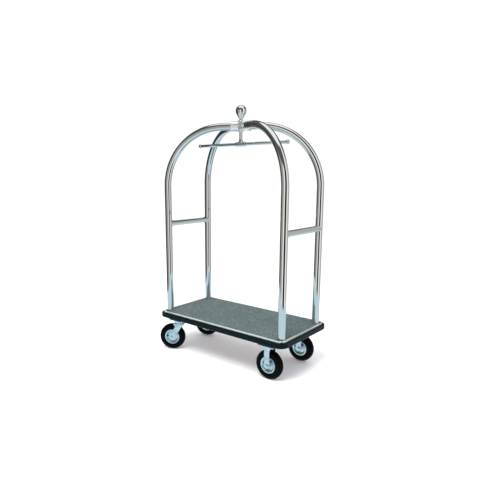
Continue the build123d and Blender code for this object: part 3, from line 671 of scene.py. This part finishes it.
def spin_outline(name, outline, sides, material):
    """A closed solid of revolution about Z from (radius, height) pairs."""
    shape = bmesh.new()
    rings = []
    for radius, height in outline:
        if radius < ON_AXIS:
            rings.append([shape.verts.new((0, 0, height))] * sides)
            continue
        turns = [2 * pi * side / sides for side in range(sides)]
        ring = [(radius * cos(turn), radius * sin(turn), height) for turn in turns]
        rings.append([shape.verts.new(place) for place in ring])
    for lower, upper in zip(rings, rings[1:]):
        for side in range(sides):
            ahead = (side + 1) % sides
            face = list(dict.fromkeys((lower[side], lower[ahead], upper[ahead], upper[side])))
            if len(face) > 2:
                shape.faces.new(face)
    bmesh.ops.recalc_face_normals(shape, faces=shape.faces)
    mesh = bpy.data.meshes.new(name)
    shape.to_mesh(mesh)
    shape.free()
    mesh.materials.append(material)
    return mesh


finial_low, finial_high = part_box("finial")
BALL_RADIUS = (finial_high[0] - finial_low[0]) / 2
NECK_RADIUS, BASE_RADIUS, BASE_HEIGHT, BASE_SHARE = 0.011, 0.017, 0.005, 0.62
BASE_EDGE, BASE_SLOPE, NECK_RISE = 0.0006, 0.001, 0.0015
ball_height = finial_high[2] - BALL_RADIUS
neck_drop = ball_height - finial_low[2] - BASE_HEIGHT
span = hypot(NECK_RADIUS, neck_drop)
touch_turn = atan2(-neck_drop, NECK_RADIUS) + atan2(sqrt(span**2 - BALL_RADIUS**2), BALL_RADIUS)
base = finial_low[2]
outline = [(0, base), (BASE_RADIUS - BASE_EDGE, base), (BASE_RADIUS, base + BASE_EDGE)]
outline += [(BASE_RADIUS, base + BASE_HEIGHT / 2)]
outline += [(BASE_RADIUS - BASE_SLOPE, base + BASE_HEIGHT * BASE_SHARE)]
outline += [(NECK_RADIUS + BASE_SLOPE, base + BASE_HEIGHT)]
outline += [(NECK_RADIUS, base + BASE_HEIGHT + NECK_RISE)]
outline += arc_points((0, ball_height), BALL_RADIUS, touch_turn, pi / 2, 48)[:-1]
outline += [(0, finial_high[2])]
finial_mesh = spin_outline("finial_ball", outline, 96, chrome)
smooth(finial_mesh, 40.0)
finial = add_piece("finial_ball", finial_mesh)
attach(finial, "cart")
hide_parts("finial")
print(f"finial ball radius {BALL_RADIUS:.4f} m at {ball_height:.3f} m")

# %% [markdown]
# ## Tyres with a real tread
#
# The tread is the same small block over and over, so it is a job for Geometry Nodes. The
# carcass is a lathe outline. The tree puts tread blocks on rings of points round it, each
# ring offset by half a pitch from the next and each block turned a little, which gives
# the staggered chevrons of a small pneumatic tyre.

# %% Sizes of a tyre
tyre_low, tyre_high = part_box("tyre_front_right")
TYRE_RADIUS = (tyre_high[2] - tyre_low[2]) / 2
TYRE_HALF_WIDTH = (tyre_high[1] - tyre_low[1]) / 2
TREAD_DEPTH = 0.0026
BEAD_RADIUS = 0.0478
CROWN_RADIUS = 0.046
SIDE_GAP = 0.0003
print(f"tyre radius {TYRE_RADIUS:.4f} m, width {2 * TYRE_HALF_WIDTH:.4f} m")


# %% Tyre carcass
def half_carcass():
    """(radius, distance from the middle plane) from the bead to the crown."""
    points = [(BEAD_RADIUS, 0.0), (BEAD_RADIUS, 0.0155), (0.0496, 0.0181)]
    points += [(0.0590, 0.0196), (0.0602, 0.0212), (0.0606, 0.0222), (0.0618, 0.0228)]
    side = arc_points((0.0775, 0.0070), 0.0215, radians(135.0), radians(38.0), 20)
    points += [(radius, min(width, TYRE_HALF_WIDTH - SIDE_GAP)) for radius, width in side]
    crown_centre = TYRE_RADIUS - TREAD_DEPTH - CROWN_RADIUS
    return points + arc_points((crown_centre, 0.0), CROWN_RADIUS, radians(26.0), 0.0, 10)


carcass_outline = half_carcass()
carcass_outline += [(radius, -width) for radius, width in reversed(carcass_outline[1:-1])]
carcass_outline.append(carcass_outline[0])
carcass_mesh = spin_outline("tyre_carcass", carcass_outline, 96, tyre_rubber)
bare = bmesh.new()
bare.from_mesh(carcass_mesh)
bmesh.ops.remove_doubles(bare, verts=bare.verts, dist=1e-6)
bmesh.ops.recalc_face_normals(bare, faces=bare.faces)
bare.to_mesh(carcass_mesh)
bare.free()
smooth(carcass_mesh, 50.0)
print("carcass faces:", len(carcass_mesh.polygons))


# %% Tree that lays the tread
TREAD_SHARE, BLOCK_TURN = 0.72, 0.42
ROW_DROP, ROW_OUT = 0.0003, 0.0056
SHOULDER_DROP, SHOULDER_OUT, SHOULDER_LEAN = 0.0030, 0.0158, 0.34


def tread_ring(tree, block, radius, width, offset, tilt, turn):
    """Blocks on one ring: they lean by tilt over the shoulder and turn about their own up."""
    around = tree.source["Blocks Around"]
    ring = tree.add("GeometryNodeMeshCircle", Vertices=around, Radius=radius)
    index = tree.add("GeometryNodeInputIndex").outputs["Index"]
    shifted = tree.math("ADD", index, offset)
    angle = tree.math("DIVIDE", tree.math("MULTIPLY", shifted, 2 * pi), around)
    place = tree.add(
        "ShaderNodeCombineXYZ",
        X=tree.math("MULTIPLY", tree.math("COSINE", angle), radius),
        Y=tree.math("MULTIPLY", tree.math("SINE", angle), radius),
        Z=width,
    )
    moved = tree.add(
        "GeometryNodeSetPosition", Geometry=ring.outputs["Mesh"], Position=place.outputs["Vector"]
    )
    spin = tree.add("ShaderNodeCombineXYZ", X=0.0, Y=0.0, Z=angle)
    blocks = tree.add(
        "GeometryNodeInstanceOnPoints",
        Points=moved.outputs["Geometry"],
        Instance=block,
        Rotation=spin.outputs["Vector"],
    )
    own = tree.add("ShaderNodeCombineXYZ", X=turn, Y=-tilt, Z=0.0)
    leaned = tree.add(
        "GeometryNodeRotateInstances", Instances=blocks.outputs["Instances"], Rotation=own.outputs["Vector"]
    )
    return leaned.outputs["Instances"]


def make_tread_tree():
    tree = Grower(
        "lay_tread",
        {"Blocks Around": "Int", "Block Height": "Float", "Block Length": "Float", "Block Width": "Float"},
    )
    size = tree.add(
        "ShaderNodeCombineXYZ",
        X=tree.source["Block Height"],
        Y=tree.source["Block Length"],
        Z=tree.source["Block Width"],
    )
    block = tree.add("GeometryNodeMeshCube", Size=size.outputs["Vector"]).outputs["Mesh"]
    middle = TYRE_RADIUS - TREAD_DEPTH * TREAD_SHARE
    rings = []
    for side in (-1, 1):
        near, far = (0.0, 0.5) if side < 0 else (0.5, 0.0)
        turn = side * BLOCK_TURN
        rings.append(tread_ring(tree, block, middle - ROW_DROP, side * ROW_OUT, near, 0.0, turn))
        rim, lean = middle - SHOULDER_DROP, side * SHOULDER_LEAN
        rings.append(tread_ring(tree, block, rim, side * SHOULDER_OUT, far, lean, turn))
    tree.finish(tree.join(tree.source["Geometry"], *rings), tyre_rubber)
    return tree


tread_tree = make_tread_tree()
carcass = add_piece("tyre_carcass", carcass_mesh)
tyre_mesh = tread_tree.grow(
    "tyre",
    carcass,
    {"Blocks Around": 66, "Block Height": TREAD_DEPTH, "Block Length": 0.0068, "Block Width": 0.0086},
)
discard(carcass)
tyre_mesh.set_sharp_from_angle(angle=radians(50.0))
reach = max(hypot(vertex.co.x, vertex.co.y) for vertex in tyre_mesh.vertices)
print(f"tyre mesh of {len(tyre_mesh.polygons)} faces, out to {reach:.4f} m")

# %% [markdown]
# ## Stand each tyre on its caster
#
# The wheel joints in the record give every wheel's centre and axis. A copy of the tyre
# is turned so that its own axis lies along the joint's, and moved into its mesh, so that
# the object itself stays at the origin.


# %% Place the tyres
def onto_wheel(corner):
    """The move that takes a wheel piece from the origin to its caster."""
    joint = next(one for one in frame["joints"] if one["name"] == f"wheel_spin_{corner}")
    turn = Vector((0, 0, 1)).rotation_difference(Vector(joint["axis"]))
    return Matrix.Translation(joint["pos_m"]) @ turn.to_matrix().to_4x4()


for corner in corners:
    mesh = tyre_mesh.copy()
    mesh.transform(onto_wheel(corner))
    tyre = add_piece(f"treaded_tyre_{corner}", mesh)
    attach(tyre, f"wheel_{corner}")
    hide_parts(f"tyre_{corner}")
print("placed tyres on", ", ".join(corners))

# %% [markdown]
# ## The carpet's pile
#
# Up close a loop-pile carpet is rows of small rounded nubs. A grid of points covers the
# deck, each point is jittered by a seeded amount, and a low dome is set on each and leans
# a little. The domes are sunk in the carpet, so that only those that lean most come
# through its face, about one in four, as in a pile that has been walked flat. The points
# that fall on the post feet are left out, as the fitter's knife does.

# %% Carpet sizes
carpet_low, carpet_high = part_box("carpet")
RING_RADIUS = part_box("post_base_rings")[1][0] - POST_X
PILE_HEIGHT, PILE_PITCH = 0.0022, 0.0078
PILE_SUNK, PILE_RISE, PILE_STRAY, PILE_LEAN = 0.0008, 0.0006, 0.0011, 0.25
TOP_SHARE, FOOT_SHARE = 0.28, 0.60
EDGE_MARGIN, KNIFE_GAP = 0.010, 0.0035
print(f"carpet {carpet_high[0] - carpet_low[0]:.3f} by {carpet_high[1] - carpet_low[1]:.3f} m")


# %% Tree that plants the pile
def make_pile_tree():
    tree = Grower(
        "plant_pile", {"Pitch": "Float", "Pile Height": "Float", "Ring Radius": "Float", "Seed": "Int"}
    )
    pitch = tree.source["Pitch"]
    length = carpet_high[0] - carpet_low[0] - 2 * EDGE_MARGIN
    width = carpet_high[1] - carpet_low[1] - 2 * EDGE_MARGIN
    grid = tree.add(
        "GeometryNodeMeshGrid",
        Size_X=length,
        Size_Y=width,
        Vertices_X=tree.math("DIVIDE", length, pitch),
        Vertices_Y=tree.math("DIVIDE", width, pitch),
    )
    position = tree.add("GeometryNodeInputPosition").outputs["Position"]
    folded = tree.add("ShaderNodeVectorMath", {"operation": "ABSOLUTE"})
    tree.feed(folded.inputs[0], position)
    apart = tree.add("ShaderNodeVectorMath", {"operation": "DISTANCE"})
    tree.feed(apart.inputs[0], folded.outputs["Vector"])
    tree.feed(apart.inputs[1], (POST_X, POST_Y, 0.0))
    on_foot = tree.add("FunctionNodeCompare", {"operation": "LESS_THAN"})
    tree.feed(on_foot.inputs[0], apart.outputs["Value"])
    tree.feed(on_foot.inputs[1], tree.math("ADD", tree.source["Ring Radius"], KNIFE_GAP))
    cut = tree.add(
        "GeometryNodeDeleteGeometry",
        {"domain": "POINT"},
        Geometry=grid.outputs["Mesh"],
        Selection=on_foot.outputs["Result"],
    )
    foot = carpet_high[2] - PILE_HEIGHT - PILE_SUNK
    wander = tree.add("FunctionNodeRandomValue", {"data_type": "FLOAT_VECTOR"}, Seed=tree.source["Seed"])
    tree.feed(wander.inputs[0], (-PILE_STRAY, -PILE_STRAY, foot))
    tree.feed(wander.inputs[1], (PILE_STRAY, PILE_STRAY, foot + PILE_RISE))
    spread = tree.add("GeometryNodeSetPosition", Geometry=cut.outputs["Geometry"], Offset=wander.outputs[0])
    dome = tree.add(
        "GeometryNodeMeshCone",
        {"fill_type": "NGON"},
        Vertices=6,
        Radius_Top=tree.math("MULTIPLY", pitch, TOP_SHARE),
        Radius_Bottom=tree.math("MULTIPLY", pitch, FOOT_SHARE),
        Depth=tree.source["Pile Height"],
    )
    soft_dome = tree.add("GeometryNodeSetShadeSmooth", Geometry=dome.outputs["Mesh"])
    turn = tree.add("FunctionNodeRandomValue", {"data_type": "FLOAT_VECTOR"}, Seed=tree.source["Seed"])
    tree.feed(turn.inputs[0], (-PILE_LEAN, -PILE_LEAN, 0.0))
    tree.feed(turn.inputs[1], (PILE_LEAN, PILE_LEAN, 2 * pi))
    planted = tree.add(
        "GeometryNodeInstanceOnPoints",
        Points=spread.outputs["Geometry"],
        Instance=soft_dome.outputs[0],
        Rotation=turn.outputs[0],
    )
    tree.finish(planted.outputs["Instances"], carpet_fibre)
    return tree


pile_tree = make_pile_tree()
seed_bed = add_piece("seed_bed", bpy.data.meshes.new("seed_bed"))
pile_mesh = pile_tree.grow(
    "carpet_pile",
    seed_bed,
    {"Pitch": PILE_PITCH, "Pile Height": PILE_HEIGHT, "Ring Radius": RING_RADIUS, "Seed": 7},
)
discard(seed_bed)
pile = add_piece("carpet_pile", pile_mesh)
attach(pile, "cart")
pile_mesh.calc_loop_triangles()
print("pile triangles:", len(pile_mesh.loop_triangles))

# %% [markdown]
# ## The room
#
# The object stands on a plain pale floor in a white room. The floor is wide and evenly
# lit, so that it runs into the white behind it without a line. One large softbox, high in
# front and a little to the right, leaves a soft shadow behind the cart. The paper glows
# very faintly, which keeps that shadow pale. The chrome doesn't mirror the softbox: what
# it mirrors is hung round it in the next step.

# %% Floor
FLOOR_HALF = 60.0
FLOOR_GLOW, FLOOR_GLOW_TINT = 0.09, (1.0, 0.95, 1.06, 1.0)
floor_corners = [(-FLOOR_HALF, -FLOOR_HALF, 0), (FLOOR_HALF, -FLOOR_HALF, 0)]
floor_corners += [(FLOOR_HALF, FLOOR_HALF, 0), (-FLOOR_HALF, FLOOR_HALF, 0)]
floor_mesh = bpy.data.meshes.new("floor")
floor_mesh.from_pydata(floor_corners, [], [(0, 1, 2, 3)])
paper = Finish("white_paper", (0.92, 0.92, 0.95), 0.9, specular=0.0)
paper.shader.inputs["Emission Color"].default_value = FLOOR_GLOW_TINT
paper.shader.inputs["Emission Strength"].default_value = FLOOR_GLOW
floor_mesh.materials.append(paper.material)
floor = add_piece("floor", floor_mesh)
print("floor side:", 2 * FLOOR_HALF, "m")


# %% White sky and softbox
SKY_STRENGTH, KEY_POWER = 1.08, 190.0


def add_softbox(name, place, target, size, power):
    light = bpy.data.lights.new(name, "AREA")
    light.shape = "RECTANGLE"
    light.size, light.size_y = size
    light.energy = power
    lamp = bpy.data.objects.new(name, light)
    lamp.location = place
    lamp.rotation_euler = (Vector(target) - Vector(place)).to_track_quat("-Z", "Y").to_euler()
    bpy.context.scene.collection.objects.link(lamp)
    return lamp


sky = bpy.data.worlds.new("white_room")
sky.use_nodes = True
sky.node_tree.nodes["Background"].inputs["Color"].default_value = (1.0, 1.0, 1.0, 1.0)
sky.node_tree.nodes["Background"].inputs["Strength"].default_value = SKY_STRENGTH
bpy.context.scene.world = sky
key = add_softbox("key_softbox", (0.7, -2.5, 4.5), (0, 0, 0.4), (2.0, 2.0), KEY_POWER)
key.visible_glossy = False
print("softbox at", tuple(round(value, 1) for value in key.location), "with", KEY_POWER, "W")

# %% [markdown]
# ## Something for the chrome to mirror
#
# In an all-white room a mirror vanishes. Photographers hang black and grey cards outside
# the picture, and each one draws a long line down every tube. Here one round booth
# carries all the cards: its wall changes brightness with the bearing, its ceiling is dark
# round a bright softbox, with one bright card carried up over it, and its floor is a cool
# grey-blue. The booth is seen only in reflections, so it casts no shadow and stays out of
# the picture from every side. Bearings are in degrees from the camera's own.

# %% Cards by bearing
VIEW_BEARING, VIEW_RISE = radians(39.9), radians(10.9)
BOOTH_RADIUS, BOOTH_HEIGHT = 2.3, 3.6
CARDS = [
    (-180, 0.75), (-150, 0.75), (-140, 0.04), (-84, 0.04), (-74, 0.34), (-30, 0.40), (-20, 0.95), (-2, 0.95),
    (5, 0.010), (34, 0.010), (42, 0.95), (62, 0.95), (72, 0.50), (136, 0.46), (148, 0.06), (160, 0.06),
    (170, 0.75),
]
CEILING_CARDS = [(-170, 0.10), (34, 0.10), (44, 0.95), (74, 0.95), (84, 0.10), (170, 0.10)]
CARD_TINT = (1.0, 1.0, 0.93)
BOOTH_FLOOR = (0.60, 0.75, 0.82, 1.0)
SOFTBOX = (1.0, 1.0, 0.98, 1.0)
SOFTBOX_EDGE = (0.52 * BOOTH_RADIUS, 0.64 * BOOTH_RADIUS)
WALL_TOP = (2.25, 2.7)
WALL_FOOT = (0.01, 0.02)


def card_stops(cards):
    """(position on the ramp, colour) pairs, from the bearings off the camera's."""
    ahead = VIEW_BEARING - pi / 2
    turns = [((radians(bearing) + ahead) / (2 * pi) + 0.5) % 1.0 for bearing, _ in cards]
    stops = sorted(zip(turns, [level for _, level in cards]))
    (first, first_level), (last, last_level) = stops[0], stops[-1]
    seam = first_level + (last_level - first_level) * first / (first + 1.0 - last)
    stops = [(0.0, seam), (1.0, seam)] + stops
    return [(place, [level * part for part in CARD_TINT]) for place, level in stops]


def make_booth_material():
    finish = Finish("card_booth", (0.5, 0.5, 0.5), 1.0)
    parts = finish.add("ShaderNodeSeparateXYZ")
    finish.link(finish.place, parts.inputs["Vector"])
    bearing = finish.add("ShaderNodeMath")
    bearing.operation = "ARCTAN2"
    finish.link(parts.outputs["Y"], bearing.inputs[0])
    finish.link(parts.outputs["X"], bearing.inputs[1])
    turn = finish.between(bearing.outputs["Value"], 0.0, 1.0, -pi, pi)
    cards = finish.ramp(turn, card_stops(CARDS))
    ceiling = finish.ramp(turn, card_stops(CEILING_CARDS))
    flat = finish.add("ShaderNodeVectorMath")
    flat.operation = "MULTIPLY"
    finish.link(finish.place, flat.inputs[0])
    flat.inputs[1].default_value = (1.0, 1.0, 0.0)
    reach = finish.add("ShaderNodeVectorMath")
    reach.operation = "LENGTH"
    finish.link(flat.outputs["Vector"], reach.inputs[0])
    outside = finish.between(reach.outputs["Value"], 0.0, 1.0, *SOFTBOX_EDGE)
    overhead = finish.mixed("MIX", outside, SOFTBOX, ceiling)
    high = finish.between(parts.outputs["Z"], 0.0, 1.0, *WALL_TOP)
    low = finish.between(parts.outputs["Z"], 1.0, 0.0, *WALL_FOOT)
    upper = finish.mixed("MIX", high, cards, overhead)
    whole = finish.mixed("MIX", low, upper, BOOTH_FLOOR)
    glow = finish.add("ShaderNodeEmission")
    finish.link(whole, glow.inputs["Color"])
    finish.link(glow.outputs["Emission"], finish.tree.nodes["Material Output"].inputs["Surface"])
    return finish.material


# %% Booth
BOOTH_LIFT = 0.002
booth_outline = [(0, BOOTH_LIFT), (BOOTH_RADIUS, BOOTH_LIFT)]
booth_outline += [(BOOTH_RADIUS, BOOTH_HEIGHT), (0, BOOTH_HEIGHT)]
booth = add_piece("card_booth", spin_outline("card_booth", booth_outline, 128, make_booth_material()))
booth.visible_camera = False
booth.visible_diffuse = False
booth.visible_transmission = False
booth.visible_volume_scatter = False
booth.visible_shadow = False
print("booth of cards, radius", BOOTH_RADIUS, "m, with", len(CARDS), "+", len(CEILING_CARDS), "stops")

# %% [markdown]
# ## Camera
#
# The camera looks from the cart's right front corner, at chest height and slightly down.
# Its bearing, height and lens were worked out from the cart's own proportions, and the
# small shift frames the cart as a catalogue would.

# %% Camera
VIEW_DISTANCE = 3.482
VIEW_TARGET = Vector((-0.147, 0.0, 0.689))
level = cos(VIEW_RISE)
back = Vector((sin(VIEW_BEARING) * level, -cos(VIEW_BEARING) * level, sin(VIEW_RISE)))
lens = bpy.data.cameras.new("catalogue_camera")
lens.sensor_width = 36.0
lens.lens = 34.16
lens.shift_x = 0.0366
lens.shift_y = 0.0433
lens.clip_end = 200.0
camera = bpy.data.objects.new("catalogue_camera", lens)
camera.location = VIEW_TARGET + back * VIEW_DISTANCE
camera.rotation_euler = (pi / 2 - VIEW_RISE, 0.0, VIEW_BEARING)
bpy.context.scene.collection.objects.link(camera)
bpy.context.scene.camera = camera
bpy.context.scene.view_settings.view_transform = "Standard"
print("camera at", tuple(round(value, 3) for value in camera.location))
